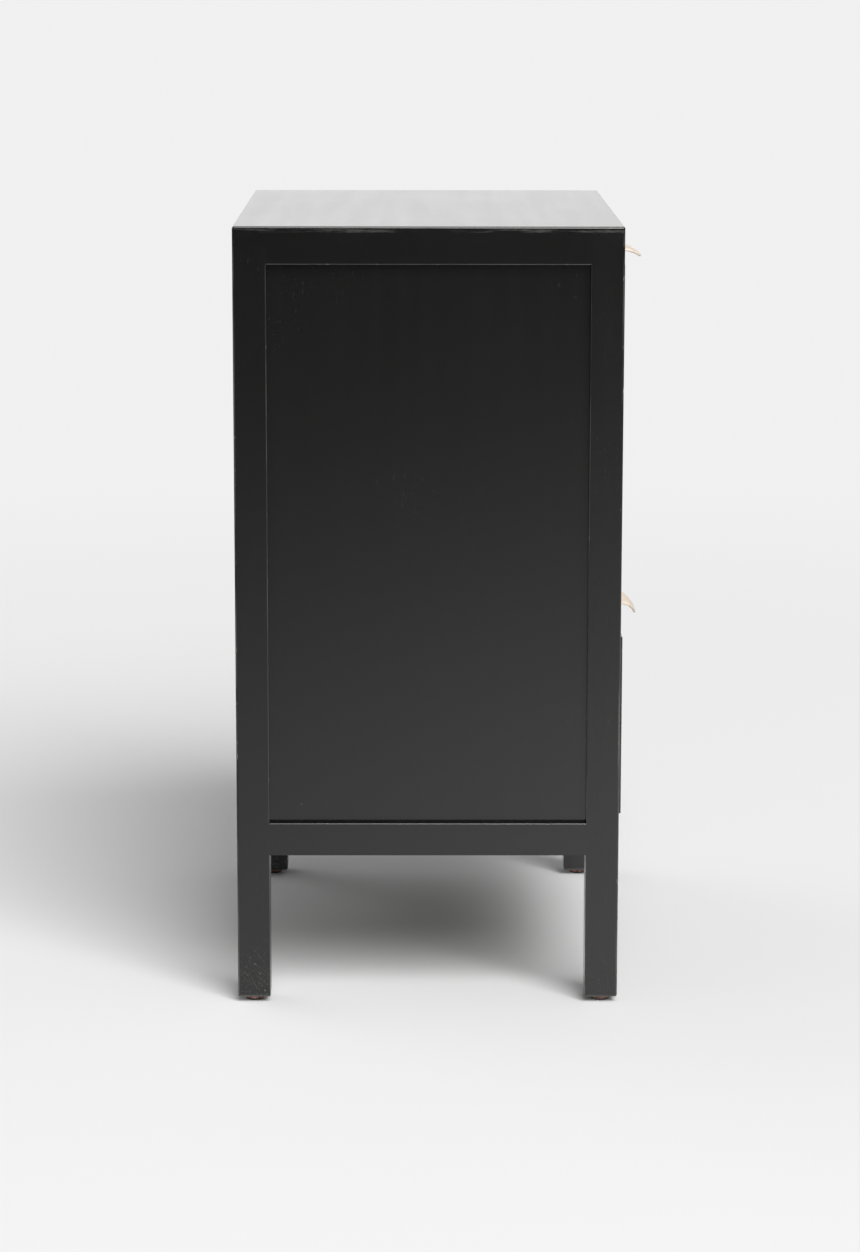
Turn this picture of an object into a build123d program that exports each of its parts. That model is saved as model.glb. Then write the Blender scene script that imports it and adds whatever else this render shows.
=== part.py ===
from build123d import *
import os
from math import atan, cos, degrees, sin

# A small black lacquered cabinet on four square legs: frame-and-panel sides, a drawer
# at the top, a cupboard with two doors in the middle and a deeper drawer at the bottom.
# Millimetres. X is the width, -Y the front, +Z up. The pieces are placed about the
# middle of the carcase; the last lines set them all back by half of what stands out of
# its front, which puts the origin on the floor under the middle of the whole.

# ---------------------------------------------------------------- driving dimensions
cabinet_width = 500.0
cabinet_depth = 350.0  # over the legs, without the fronts that stand proud of them
cabinet_height = 715.0
leg_side = 30.0
glide_height = 5.0
glide_radius = 9.5
glide_foot_radius = 8.0  # where it meets the floor
glide_rounding = 1.5
arris_radius = 2.0  # the outer edges
foot_rounding = 3.0  # round a leg's lower end
inner_arris_radius = 1.0  # the edges round the side panels and the front opening

top_thickness = 18.0
top_rail_height = 16.0
bottom_rail_height = 30.0
bottom_rail_clearance = 140.0  # from the floor to the underside of the bottom rails
rail_thickness = 22.0
tenon_length = 10.0
tenon_thickness = 8.0
tenon_shoulder = 3.0
tenon_clearance = 0.1
groove_margin = 1.0  # wood between a tenon and the groove beside it

panel_thickness = 9.0
panel_recess = 8.0  # how far a panel lies behind the frame's face
groove_depth = 6.0
panel_play = 0.5  # a panel stops short of its groove's floor

board_thickness = 15.0  # bottom board and shelves
tongue_thickness = 6.0
tongue_length = 5.0
tongue_shoulder = 1.0  # below the tongue, so that it passes under the panels' grooves
tongue_end_gap = 1.0  # between a tongue and the legs
batten_height = 20.0
guide_height = 20.0
kicker_width = 24.0
stop_length = 30.0
stop_depth = 8.0
stop_height = 6.0
stop_spacing = 218.5  # between the middles of the two stops

front_thickness = 18.0
front_side_gap = 1.5  # a front and the leg beside it
front_edge_gap = 2.0  # a front and the rail above or below it
divider_gap = 4.0  # two fronts, one above the other
door_gap = 3.0  # between the two doors
bottom_front_height = 166.0
door_height = 220.0
top_front_proud = 2.0
door_proud = 2.4
bottom_front_proud = 3.4
closing_gap = 0.3  # a closed front and what stops it
running_gap = 0.3  # under a drawer's sides

drawer_side_thickness = 12.0
drawer_back_thickness = 12.0
drawer_bottom_thickness = 6.0
drawer_bottom_height = 8.0  # from the sides' lower edge up to the bottom's underside
drawer_groove_depth = 5.0
drawer_side_lap = 10.0  # how far a side goes into the rebate of its front
drawer_top_gap = 3.0  # a drawer's sides and what lies above them
drawer_back_gap = 10.0  # a drawer and the back panel
peg_radius = 1.5
peg_length = 30.0
pegs_per_corner = 3

pull_width = 80.0
pull_thickness = 2.5
pull_flat = 5.0  # straight part beyond the front's face
pull_root = 13.0  # part that lies in the front's top edge
top_pull_reach = 28.5  # from the front's face to the tab's tip
top_pull_drop = 9.5
bottom_pull_reach = 25.5
bottom_pull_drop = 16.5
pull_screw_spacing = 44.0
pull_screw_length = 14.0

pin_radius = 2.0
pin_clearance = 0.05
pin_length = 10.0
bush_wall = 2.0
bush_length = 12.0
bush_flange = 0.7
bush_flange_radius = 6.0
plate_thickness = 2.0
plate_width = 12.0
plate_seat = 26.0  # length of the plate that is let into the shelf
plate_screw_length = 10.0
plate_screw_places = (7.8, 19.5)  # from the shelf's front edge

knob_radius = 7.5
knob_stem_radius = 3.5
knob_reach = 9.5
knob_head = 4.5
knob_stud_radius = 2.0
knob_stud_length = 12.0
knob_inset = 22.0  # from the doors' meeting edges

magnet_radius = 3.0
magnet_length = 8.0
magnet_inset = 25.0
strike_thickness = 1.0
strike_margin = 0.5  # by which the strike's radius passes the magnet's

screw_radius = 1.5
screw_head_radius = 3.0
screw_head_height = 1.5
screw_clearance = 0.05
top_screw_head_radius = 4.0
top_screw_grip = 11.0  # thread in the top board
top_screw_counterbore = 5.0
nail_radius = 1.25
nail_length = 15.0
tip_gap = 1.0  # a screw, nail or peg stops short of its hole's end
top_screw_head = 4.0
top_screw_spacing = 76.5
past = 1.0  # how far a cut runs on beyond the faces that it opens

# ------------------------------------------------------------------ derived places
half_width = cabinet_width / 2
half_depth = cabinet_depth / 2
leg_inner_x = half_width - leg_side
leg_inner_y = half_depth - leg_side
leg_bottom = glide_height
top_underside = cabinet_height - top_thickness
top_rail_underside = top_underside - top_rail_height
bottom_rail_underside = bottom_rail_clearance
bottom_rail_top = bottom_rail_underside + bottom_rail_height
panel_inner_x = half_width - panel_recess - panel_thickness
panel_inner_y = half_depth - panel_recess - panel_thickness
rail_inner_x = half_width - rail_thickness
rail_inner_y = half_depth - rail_thickness

bottom_front_low = bottom_rail_top + front_edge_gap
bottom_front_high = bottom_front_low + bottom_front_height
door_low = bottom_front_high + divider_gap
door_high = door_low + door_height
top_front_low = door_high + divider_gap
top_front_high = top_rail_underside - front_edge_gap
plate_gap = (divider_gap - plate_thickness) / 2
lower_shelf_top = door_low - plate_gap
upper_shelf_top = top_front_low - plate_gap
shelf_front = -half_depth - top_front_proud + front_thickness + closing_gap
front_half_width = leg_inner_x - front_side_gap
pivot_x = front_half_width - front_thickness / 2
pivot_y = -half_depth - door_proud + front_thickness / 2

parts = {}


# ------------------------------------------------------------------ small helpers
def block(x, y, z):
    """A box from three (low, high) pairs."""
    return Pos((x[0] + x[1]) / 2, (y[0] + y[1]) / 2, (z[0] + z[1]) / 2) * Box(
        x[1] - x[0], y[1] - y[0], z[1] - z[0]
    )


def upright(radius, x, y, z):
    """A vertical cylinder between two heights."""
    return Pos(x, y, (z[0] + z[1]) / 2) * Cylinder(radius, z[1] - z[0])


def across(radius, x, y, z):
    """A cylinder along the width between two values of X."""
    return Pos((x[0] + x[1]) / 2, y, z) * Rot(0, 90, 0) * Cylinder(radius, x[1] - x[0])


def inward(radius, x, y, z):
    """A cylinder along the depth between two values of Y."""
    return Pos(x, (y[0] + y[1]) / 2, z) * Rot(90, 0, 0) * Cylinder(radius, y[1] - y[0])


def span(middle, length):
    return (middle - length / 2, middle + length / 2)


def both_sides(right_half):
    """The two mirrored copies of a shape at the right, as (name ending, shape)."""
    return (("left", mirror(right_half, about=Plane.YZ)), ("right", right_half))


def rounding_strip(radius, corner_x, corner_y, into_x, into_y, z):
    """What a plane takes off a vertical edge to round it; into_x and into_y are the
    directions, +1 or -1, from the edge into the wood."""
    centre_x = corner_x + into_x * radius
    centre_y = corner_y + into_y * radius
    square = block(
        sorted((corner_x - into_x, centre_x)), sorted((corner_y - into_y, centre_y)), z
    )
    return square - upright(radius, centre_x, centre_y, z)


# ------------------------------------------------------------------ frame
def tenon_heights(low, high, grooved_edge):
    """A rail's tenon keeps clear of the groove in that edge of the rail."""
    keep = groove_depth + groove_margin
    if grooved_edge == "top":
        return (low + tenon_shoulder, high - keep)
    return (low + keep, high - tenon_shoulder)


bottom_tenon = tenon_heights(bottom_rail_underside, bottom_rail_top, "top")
top_tenon = tenon_heights(top_rail_underside, top_underside, "bottom")
tenon_across = span(half_depth - leg_side / 2, tenon_thickness)
tenon_along = span(half_width - leg_side / 2, tenon_thickness)
panel_heights = (
    bottom_rail_top - groove_depth + panel_play,
    top_rail_underside + groove_depth - panel_play,
)
groove_heights = (bottom_rail_top - groove_depth, top_rail_underside + groove_depth)
side_groove = (panel_inner_x, panel_inner_x + panel_thickness)
back_groove = (panel_inner_y, panel_inner_y + panel_thickness)


def grown(pair, clearance):
    return (pair[0] - clearance, pair[1] + clearance)


def leg(is_back):
    """The leg at the right, front or back, with its mortises, grooves and edges."""
    turn = 1 if is_back else -1
    y_range = sorted((turn * leg_inner_y, turn * half_depth))
    body = block((leg_inner_x, half_width), y_range, (leg_bottom, top_underside))
    bottom_edges = body.edges().group_by(Axis.Z)[0]
    body = fillet(bottom_edges, foot_rounding)
    body -= rounding_strip(
        arris_radius, half_width, turn * half_depth, -1, -turn, (0, cabinet_height)
    )
    deep = tenon_length + tenon_clearance
    for tenon in (bottom_tenon, top_tenon):
        z = grown(tenon, tenon_clearance)
        wide_y = sorted(turn * y for y in grown(tenon_across, tenon_clearance))
        wide_x = grown(tenon_along, tenon_clearance)
        body -= block((leg_inner_x - past, leg_inner_x + deep), wide_y, z)
        reach = sorted((turn * (leg_inner_y - past), turn * (leg_inner_y + deep)))
        body -= block(wide_x, reach, z)
    run = sorted((turn * (leg_inner_y - past), turn * (leg_inner_y + groove_depth)))
    body -= block(side_groove, run, groove_heights)
    if is_back:
        body -= block(
            (leg_inner_x - past, leg_inner_x + groove_depth), back_groove, groove_heights
        )
    open_height = (bottom_rail_top, top_rail_underside)
    free_height = (0, bottom_rail_underside)
    inner = turn * leg_inner_y
    outer = turn * half_depth
    for height in (open_height, free_height):
        body -= rounding_strip(inner_arris_radius, half_width, inner, -1, turn, height)
        body -= rounding_strip(inner_arris_radius, leg_inner_x, outer, 1, -turn, height)
    body -= rounding_strip(
        inner_arris_radius, leg_inner_x, inner, 1, turn, free_height
    )
    nail_x = leg_inner_x + leg_side / 2
    nail_y = turn * (leg_inner_y + leg_side / 2)
    nail_top = leg_bottom + nail_length
    body -= upright(nail_radius + pin_clearance, nail_x, nail_y, (0, nail_top))
    return body


for end, is_back in (("front", False), ("back", True)):
    for side, shape in both_sides(leg(is_back)):
        parts[f"leg_{end}_{side}"] = shape


def side_rail(low, high, tenon, groove, tongued):
    """The rail of the right side frame between two heights."""
    rail = block((rail_inner_x, half_width), (-leg_inner_y, leg_inner_y), (low, high))
    long_edges = (
        rail.edges().filter_by(Axis.Y).group_by(Axis.X)[-1].sort_by(Axis.Z)
    )
    near_panel = long_edges[-1] if tongued else long_edges[0]
    rail = fillet(near_panel, inner_arris_radius)
    tenon_run = (-leg_inner_y - tenon_length, leg_inner_y + tenon_length)
    rail += block(tenon_along, tenon_run, tenon)
    rail -= block(side_groove, (-leg_inner_y, leg_inner_y), groove)
    if tongued:
        rail -= block(
            (rail_inner_x - past, rail_inner_x + tongue_length + tenon_clearance),
            (-leg_inner_y, leg_inner_y),
            grown(tongue_heights, tenon_clearance),
        )
    return rail


def cross_rail(turn, low, high, tenon, groove, tongued):
    """A front (turn -1) or back (turn 1) rail; groove is None without a panel."""
    y_range = sorted((turn * rail_inner_y, turn * half_depth))
    rail = block((-leg_inner_x, leg_inner_x), y_range, (low, high))
    outer_edges = rail.edges().filter_by(Axis.X).group_by(Axis.Y)[0 if turn < 0 else -1]
    ordered = outer_edges.sort_by(Axis.Z)
    rail = fillet(ordered[-1] if tongued else ordered[0], inner_arris_radius)
    tenon_run = (-leg_inner_x - tenon_length, leg_inner_x + tenon_length)
    rail += block(tenon_run, sorted(turn * y for y in tenon_across), tenon)
    if groove:
        rail -= block((-leg_inner_x, leg_inner_x), back_groove, groove)
    if tongued:
        deep = rail_inner_y + tongue_length + tenon_clearance
        rail -= block(
            (-leg_inner_x, leg_inner_x),
            sorted((turn * (rail_inner_y - past), turn * deep)),
            grown(tongue_heights, tenon_clearance),
        )
    return rail


bottom_board_low = bottom_rail_top - board_thickness
tongue_low = bottom_board_low + tongue_shoulder
tongue_heights = (tongue_low, tongue_low + tongue_thickness)
bottom_groove = (groove_heights[0], bottom_rail_top + past)
top_groove = (top_rail_underside - past, groove_heights[1])
bottom_heights = (bottom_rail_underside, bottom_rail_top)
top_heights = (top_rail_underside, top_underside)

for side, shape in both_sides(side_rail(*top_heights, top_tenon, top_groove, False)):
    parts[f"side_top_rail_{side}"] = shape
for side, shape in both_sides(
    side_rail(*bottom_heights, bottom_tenon, bottom_groove, True)
):
    parts[f"side_bottom_rail_{side}"] = shape
parts["front_top_rail"] = cross_rail(-1, *top_heights, top_tenon, None, False)
parts["front_bottom_rail"] = cross_rail(-1, *bottom_heights, bottom_tenon, None, True)
parts["back_top_rail"] = cross_rail(1, *top_heights, top_tenon, top_groove, False)
parts["back_bottom_rail"] = cross_rail(
    1, *bottom_heights, bottom_tenon, bottom_groove, True
)

panel_reach_y = leg_inner_y + groove_depth - panel_play
panel_reach_x = leg_inner_x + groove_depth - panel_play
side_panel = block(side_groove, (-panel_reach_y, panel_reach_y), panel_heights)
for side, shape in both_sides(side_panel):
    parts[f"side_panel_{side}"] = shape
parts["back_panel"] = block((-panel_reach_x, panel_reach_x), back_groove, panel_heights)

# ------------------------------------------------------------------ boards
top_board = block(
    (-half_width, half_width), (-half_depth, half_depth), (top_underside, cabinet_height)
)
top_board = fillet(top_board.edges().filter_by(Axis.Z), arris_radius)
top_board = fillet(top_board.faces().sort_by(Axis.Z)[-1].edges(), arris_radius)


def leg_corners(height):
    """The four squares that the legs take out of a board."""
    corners = []
    for turn_x in (-1, 1):
        for turn_y in (-1, 1):
            x = sorted((turn_x * leg_inner_x, turn_x * half_width))
            y = sorted((turn_y * leg_inner_y, turn_y * half_depth))
            corners.append(block(x, y, height))
    return corners


bottom_board_heights = (bottom_board_low, bottom_rail_top)
bottom_board = block(
    (-rail_inner_x, rail_inner_x), (-rail_inner_y, rail_inner_y), bottom_board_heights
)
for corner in leg_corners(bottom_board_heights):
    bottom_board -= corner
tongue_x = rail_inner_x + tongue_length
tongue_y = rail_inner_y + tongue_length
tongue_run_x = leg_inner_x - tongue_end_gap
tongue_run_y = leg_inner_y - tongue_end_gap
bottom_board += block((-tongue_x, tongue_x), (-tongue_run_y, tongue_run_y), tongue_heights)
bottom_board += block((-tongue_run_x, tongue_run_x), (-tongue_y, tongue_y), tongue_heights)
parts["bottom_board"] = bottom_board


def shelf(top):
    heights = (top - board_thickness, top)
    board = block(
        (-panel_inner_x, panel_inner_x), (shelf_front, panel_inner_y), heights
    )
    for corner in leg_corners(heights):
        board -= corner
    return board


lower_shelf = shelf(lower_shelf_top)
upper_shelf = shelf(upper_shelf_top)


def side_strip(low, height):
    """A strip between the legs, on the inner face of a side panel."""
    return block(
        (leg_inner_x, panel_inner_x), (-leg_inner_y, leg_inner_y), (low, low + height)
    )


strips = {
    "drawer_guide_bottom": side_strip(bottom_rail_top, guide_height),
    "drawer_guide_top": side_strip(upper_shelf_top, guide_height),
    "shelf_batten_lower": side_strip(
        lower_shelf_top - board_thickness - batten_height, batten_height
    ),
    "shelf_batten_upper": side_strip(
        upper_shelf_top - board_thickness - batten_height, batten_height
    ),
}
for name, strip in strips.items():
    for side, shape in both_sides(strip):
        parts[f"{name}_{side}"] = shape

kicker = block(
    (leg_inner_x - kicker_width, leg_inner_x), (-rail_inner_y, rail_inner_y), top_heights
)
kicker_screw_x = leg_inner_x - kicker_width / 2
top_screws = []
for screw_y in (-top_screw_spacing, 0, top_screw_spacing):
    head = (top_rail_underside, top_rail_underside + top_screw_counterbore)
    kicker -= upright(
        top_screw_head_radius + screw_clearance, kicker_screw_x, screw_y, head
    )
    shank = (head[0], top_underside + top_screw_grip)
    hole = upright(screw_radius + screw_clearance, kicker_screw_x, screw_y, shank)
    kicker -= hole
    for turn in (-1, 1):
        x = turn * kicker_screw_x
        top_board -= upright(screw_radius + screw_clearance, x, screw_y, shank)
        screw = upright(
            top_screw_head_radius, x, screw_y, (head[1] - top_screw_head, head[1])
        ) + upright(screw_radius, x, screw_y, (head[1], shank[1] - tip_gap))
        top_screws.append(screw)
parts["top_board"] = top_board
for side, shape in both_sides(kicker):
    parts[f"drawer_kicker_{side}"] = shape
parts["top_screws"] = Compound(top_screws)


def stops(proud, low):
    """Two blocks that a drawer's front strikes when it is closed."""
    near = -half_depth - proud + front_thickness + closing_gap
    return [
        block(
            span(turn * stop_spacing / 2, stop_length),
            (near, near + stop_depth),
            (low, low + stop_height),
        )
        for turn in (-1, 1)
    ]


parts["drawer_stops"] = Compound(
    stops(top_front_proud, upper_shelf_top) + stops(bottom_front_proud, bottom_rail_top)
)


def glide(x, y):
    """A foot that narrows to the floor, with its nail."""
    foot = Pos(x, y, glide_height / 2) * Cone(glide_foot_radius, glide_radius, glide_height)
    foot = fillet(foot.edges().group_by(Axis.Z)[0], glide_rounding)
    nail = (glide_height, glide_height + nail_length - tip_gap)
    return foot + upright(nail_radius, x, y, nail)


glide_x = half_width - leg_side / 2
glide_y = half_depth - leg_side / 2
parts["leg_glides"] = Compound(
    [glide(turn_x * glide_x, turn_y * glide_y) for turn_x in (-1, 1) for turn_y in (-1, 1)]
)


# ------------------------------------------------------------------ screws
def flat_screw(x, y, top, length, clearance=0.0):
    """A countersunk wood screw pointing down, or its hole when given a clearance."""
    head_radius = screw_head_radius + clearance
    shank_radius = screw_radius + clearance
    head = Pos(x, y, top - screw_head_height / 2) * Cone(
        shank_radius, head_radius, screw_head_height
    )
    return head + upright(shank_radius, x, y, (top - length, top - screw_head_height / 2))


# ------------------------------------------------------------------ drawers
def make_drawer(name, face, low, high, rest_on, under, reach, drop):
    """A drawer between two heights of its front; rest_on is the face it runs on, under
    the lowest face above it, face the front's Y. Its pull reaches out and drops."""
    half = front_half_width
    back_of_front = face + front_thickness
    box_low = rest_on + running_gap
    box_high = min(under - drawer_top_gap, high - pull_thickness)
    box_end = panel_inner_y - drawer_back_gap
    inner = half - drawer_side_thickness
    side_start = back_of_front - drawer_side_lap
    floor = (
        box_low + drawer_bottom_height,
        box_low + drawer_bottom_height + drawer_bottom_thickness,
    )
    groove = inner + drawer_groove_depth

    front = block((-half, half), (face, back_of_front), (low, high))
    front = fillet(front.faces().sort_by(Axis.Y)[0].edges(), inner_arris_radius)
    rebate = block(
        (inner, half + past), (side_start, back_of_front + past), (low - past, box_high)
    )
    front -= rebate + mirror(rebate, about=Plane.YZ)
    front -= block(
        (-groove, groove),
        (back_of_front - drawer_groove_depth, back_of_front + past),
        floor,
    )

    side_board = block((inner, half), (side_start, box_end), (box_low, box_high))
    side_board -= block((inner - past, groove), (side_start - past, box_end + past), floor)
    back = block(
        (-inner, inner), (box_end - drawer_back_thickness, box_end), (floor[1], box_high)
    )
    bottom_reach = groove - panel_play
    bottom = block(
        (-bottom_reach, bottom_reach),
        (back_of_front - drawer_groove_depth + panel_play, box_end),
        floor,
    )

    pegs = []
    peg_y = (
        back_of_front - drawer_side_lap / 2,
        box_end - drawer_back_thickness / 2,
    )
    peg_low = max(floor[1], low) + 2 * peg_radius
    peg_step = (box_high - peg_low) / pegs_per_corner
    for y in peg_y:
        for count in range(pegs_per_corner):
            z = peg_low + (count + 0.5) * peg_step
            hole = across(peg_radius + pin_clearance, (half - peg_length, half + past), y, z)
            side_board -= hole
            front -= hole + mirror(hole, about=Plane.YZ)
            back -= hole + mirror(hole, about=Plane.YZ)
            peg = across(peg_radius, (half - peg_length + tip_gap, half), y, z)
            pegs += [peg, mirror(peg, about=Plane.YZ)]

    tab = pull_tab(face, high, reach, drop)
    front -= block(
        span(0, pull_width + 2 * tenon_clearance),
        (face - past, face + pull_root + tenon_clearance),
        (high - pull_thickness, high + past),
    )
    screws = []
    for turn in (-1, 1):
        place = (turn * pull_screw_spacing / 2, face + pull_root / 2)
        hole = flat_screw(*place, high, pull_screw_length, screw_clearance)
        tab -= hole
        front -= hole
        screws.append(flat_screw(*place, high, pull_screw_length - tip_gap))

    parts[f"{name}_front"] = front
    for side, shape in both_sides(side_board):
        parts[f"{name}_side_{side}"] = shape
    parts[f"{name}_back"] = back
    parts[f"{name}_bottom"] = bottom
    parts[f"{name}_pegs"] = Compound(pegs)
    parts[f"{name}_pull"] = tab
    parts[f"{name}_pull_screws"] = Compound(screws)


def pull_tab(face, top, reach, drop):
    """A half-moon tab of thick leather: it lies in the front's top edge, runs straight
    out for pull_flat and then bends down by drop."""
    forward = reach - pull_flat
    turn = 2 * atan(drop / forward)
    top_radius = forward / sin(turn)
    under_radius = top_radius - pull_thickness
    bend = (face - pull_flat, top - top_radius)
    root = face + pull_root

    def on_arc(radius):
        return (bend[0] - radius * sin(turn), bend[1] + radius * cos(turn))

    upward = 90.0
    sweep = degrees(turn)
    outline = [
        Line((root, top), (bend[0], top)),
        CenterArc(bend, top_radius, upward, sweep),
        Line(on_arc(top_radius), on_arc(under_radius)),
        CenterArc(bend, under_radius, upward, sweep),
        Line((bend[0], top - pull_thickness), (root, top - pull_thickness)),
        Line((root, top - pull_thickness), (root, top)),
    ]
    strip = extrude(Plane.YZ * make_face(outline), pull_width / 2, both=True)
    moon_radius = (reach**2 + (pull_width / 2) ** 2) / (2 * reach)
    heights = span(top, 2 * (drop + pull_thickness + past))
    moon = upright(moon_radius, 0, face - reach + moon_radius, heights)
    ahead = block(span(0, pull_width), (face - reach, face), heights)
    seat = block(span(0, pull_width), (face, root), heights)
    return strip & ((moon & ahead) + seat)


make_drawer(
    "top_drawer",
    -half_depth - top_front_proud,
    top_front_low,
    top_front_high,
    upper_shelf_top,
    top_rail_underside,
    top_pull_reach,
    top_pull_drop,
)
make_drawer(
    "bottom_drawer",
    -half_depth - bottom_front_proud,
    bottom_front_low,
    bottom_front_high,
    bottom_rail_top,
    lower_shelf_top - board_thickness,
    bottom_pull_reach,
    bottom_pull_drop,
)

# ------------------------------------------------------------------ doors
door_face = -half_depth - door_proud
door_back = door_face + front_thickness
knob_height = (door_low + door_high) / 2
magnet_height = upper_shelf_top - board_thickness / 2
strike_radius = magnet_radius + strike_margin


def door():
    """The right door: its hinge edge is rounded about the pivot."""
    radius = front_thickness / 2
    height = (door_low, door_high)
    board = block((door_gap / 2, pivot_x), (door_face, door_back), height)
    front_edges = board.faces().sort_by(Axis.Y)[0].edges()
    board = fillet(front_edges.sort_by(Axis.X)[:-1], inner_arris_radius)
    board += upright(radius, pivot_x, pivot_y, height)
    for end, inside in ((door_low, 1), (door_high, -1)):
        hole = sorted((end - inside, end + inside * (bush_length + tenon_clearance)))
        board -= upright(pin_radius + pin_clearance + bush_wall, pivot_x, pivot_y, hole)
    stud_end = door_face + knob_stud_length + tenon_clearance
    board -= inward(
        knob_stud_radius + pin_clearance, knob_inset, (door_face - past, stud_end), knob_height
    )
    board -= inward(
        strike_radius,
        magnet_inset,
        (door_back - strike_thickness, door_back + past),
        magnet_height,
    )
    return board


def bush(end, inside):
    """A flanged bush in the door's top (inside -1) or bottom (inside 1) edge."""
    body_heights = sorted((end, end + inside * bush_length))
    flange_heights = sorted((end, end - inside * bush_flange))
    bore = (door_low - divider_gap, door_high + divider_gap)
    ring = upright(pin_radius + pin_clearance + bush_wall, pivot_x, pivot_y, body_heights)
    ring += upright(bush_flange_radius, pivot_x, pivot_y, flange_heights)
    return ring - upright(pin_radius + pin_clearance, pivot_x, pivot_y, bore)


def knob():
    """A turned knob: stud, stem and a domed head."""
    dome_height = knob_head / 2
    dome_radius = (knob_radius**2 + dome_height**2) / (2 * dome_height)
    rim = knob_reach - dome_height
    outline = [
        Line((0, knob_stud_length), (knob_stud_radius, knob_stud_length)),
        Line((knob_stud_radius, knob_stud_length), (knob_stud_radius, 0)),
        Line((knob_stud_radius, 0), (knob_stem_radius, 0)),
        Line((knob_stem_radius, 0), (knob_stem_radius, -knob_reach + knob_head)),
        Line((knob_stem_radius, -knob_reach + knob_head), (knob_radius, -rim)),
        RadiusArc((knob_radius, -rim), (0, -knob_reach), dome_radius),
        Line((0, -knob_reach), (0, knob_stud_length)),
    ]
    turned = revolve(make_face(outline), Axis.Y)
    return Pos(knob_inset, door_face, knob_height) * turned


for side, shape in both_sides(door()):
    parts[f"{side}_door_board"] = shape
for side, shape in both_sides(knob()):
    parts[f"{side}_door_knob"] = shape
right_bushes = [bush(door_low, 1), bush(door_high, -1)]
for side, shapes in zip(("left", "right"), zip(*map(both_sides, right_bushes))):
    parts[f"{side}_door_bushes"] = Compound([shape for _, shape in shapes])
strike = inward(
    strike_radius, magnet_inset, (door_back - strike_thickness, door_back), magnet_height
)
for side, shape in both_sides(strike):
    parts[f"{side}_door_strike"] = shape

# ------------------------------------------------------------------ pivots and magnets
pivot_plates = []
pivot_screws = []
magnets = []


def pivot_plate(x, low, pin_heights):
    """A flat plate let into a shelf's top face, with the pin that the door turns on."""
    end = shelf_front + plate_seat
    plate = block(span(x, plate_width), (pivot_y, end), (low, low + plate_thickness))
    plate += upright(plate_width / 2, x, pivot_y, (low, low + plate_thickness))
    return plate + upright(pin_radius, x, pivot_y, pin_heights)


for turn in (-1, 1):
    x = turn * pivot_x
    for shelf_top in (lower_shelf_top, upper_shelf_top):
        low = shelf_top - plate_thickness
        is_lower = shelf_top == lower_shelf_top
        pin = (low, shelf_top + pin_length) if is_lower else (low - pin_length, shelf_top)
        plate = pivot_plate(x, low, pin)
        seat = block(
            span(x, plate_width + 2 * tenon_clearance),
            (shelf_front - past, shelf_front + plate_seat + tenon_clearance),
            (low, shelf_top + past),
        )
        if is_lower:
            lower_shelf -= seat
        else:
            upper_shelf -= seat
        for distance in plate_screw_places:
            place = (x, shelf_front + distance)
            hole = flat_screw(*place, shelf_top, plate_screw_length, screw_clearance)
            plate -= hole
            if is_lower:
                lower_shelf -= hole
            else:
                upper_shelf -= hole
            screw = flat_screw(*place, shelf_top, plate_screw_length - tip_gap)
            pivot_screws.append(screw)
        pivot_plates.append(plate)
    magnet_run = (shelf_front, shelf_front + magnet_length)
    magnet_hole = (shelf_front - past, shelf_front + magnet_length + tenon_clearance)
    magnet_x = turn * magnet_inset
    upper_shelf -= inward(magnet_radius + pin_clearance, magnet_x, magnet_hole, magnet_height)
    magnets.append(inward(magnet_radius, magnet_x, magnet_run, magnet_height))

parts["lower_shelf"] = lower_shelf
parts["upper_shelf"] = upper_shelf
parts["pivot_plates"] = Compound(pivot_plates)
parts["pivot_screws"] = Compound(pivot_screws)
parts["door_magnets"] = Compound(magnets)

# ------------------------------------------------------------------ files
stands_out = max(
    top_front_proud + top_pull_reach, bottom_front_proud + bottom_pull_reach
)
set_back = Pos(0, stands_out / 2, 0)
os.makedirs("parts", exist_ok=True)
for name, shape in parts.items():
    export_step(set_back * shape, f"parts/{name}.step")
print(len(parts), "nodes")
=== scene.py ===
# %% [markdown]
# # A small black lacquered cabinet
# The solids of this cabinet, at their real size, come from a CAD model: legs, rails and
# panels, two drawers, a pair of doors and their fittings. This lesson dresses them. The
# photograph shows one side, so the black lacquer, the two leather pulls and the brown
# glides follow it closely, and the rest is finished as such cabinets usually are.
#
# The CAD pieces stay exactly where they are. We only give them materials, and replace a
# few of them by pieces with finer shapes.

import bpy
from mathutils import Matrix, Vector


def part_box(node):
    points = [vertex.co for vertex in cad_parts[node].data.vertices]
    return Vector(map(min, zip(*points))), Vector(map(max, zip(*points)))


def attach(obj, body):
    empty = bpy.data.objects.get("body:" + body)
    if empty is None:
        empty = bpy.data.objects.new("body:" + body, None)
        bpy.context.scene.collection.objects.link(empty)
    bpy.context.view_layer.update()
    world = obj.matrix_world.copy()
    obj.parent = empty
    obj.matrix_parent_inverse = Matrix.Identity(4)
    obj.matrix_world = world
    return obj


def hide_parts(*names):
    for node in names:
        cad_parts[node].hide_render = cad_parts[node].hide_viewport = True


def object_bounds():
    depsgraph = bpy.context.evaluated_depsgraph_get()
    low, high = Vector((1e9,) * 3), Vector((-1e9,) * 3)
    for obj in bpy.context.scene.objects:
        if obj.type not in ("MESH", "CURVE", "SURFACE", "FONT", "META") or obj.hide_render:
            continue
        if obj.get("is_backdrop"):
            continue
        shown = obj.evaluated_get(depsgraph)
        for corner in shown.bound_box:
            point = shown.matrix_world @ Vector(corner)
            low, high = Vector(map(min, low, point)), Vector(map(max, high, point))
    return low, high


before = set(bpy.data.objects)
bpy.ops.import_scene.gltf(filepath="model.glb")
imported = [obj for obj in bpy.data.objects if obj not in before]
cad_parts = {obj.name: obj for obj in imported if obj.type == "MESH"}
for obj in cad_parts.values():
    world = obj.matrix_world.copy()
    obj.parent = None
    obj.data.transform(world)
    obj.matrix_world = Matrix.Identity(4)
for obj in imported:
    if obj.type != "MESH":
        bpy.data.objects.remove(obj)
cad_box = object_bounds()

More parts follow.
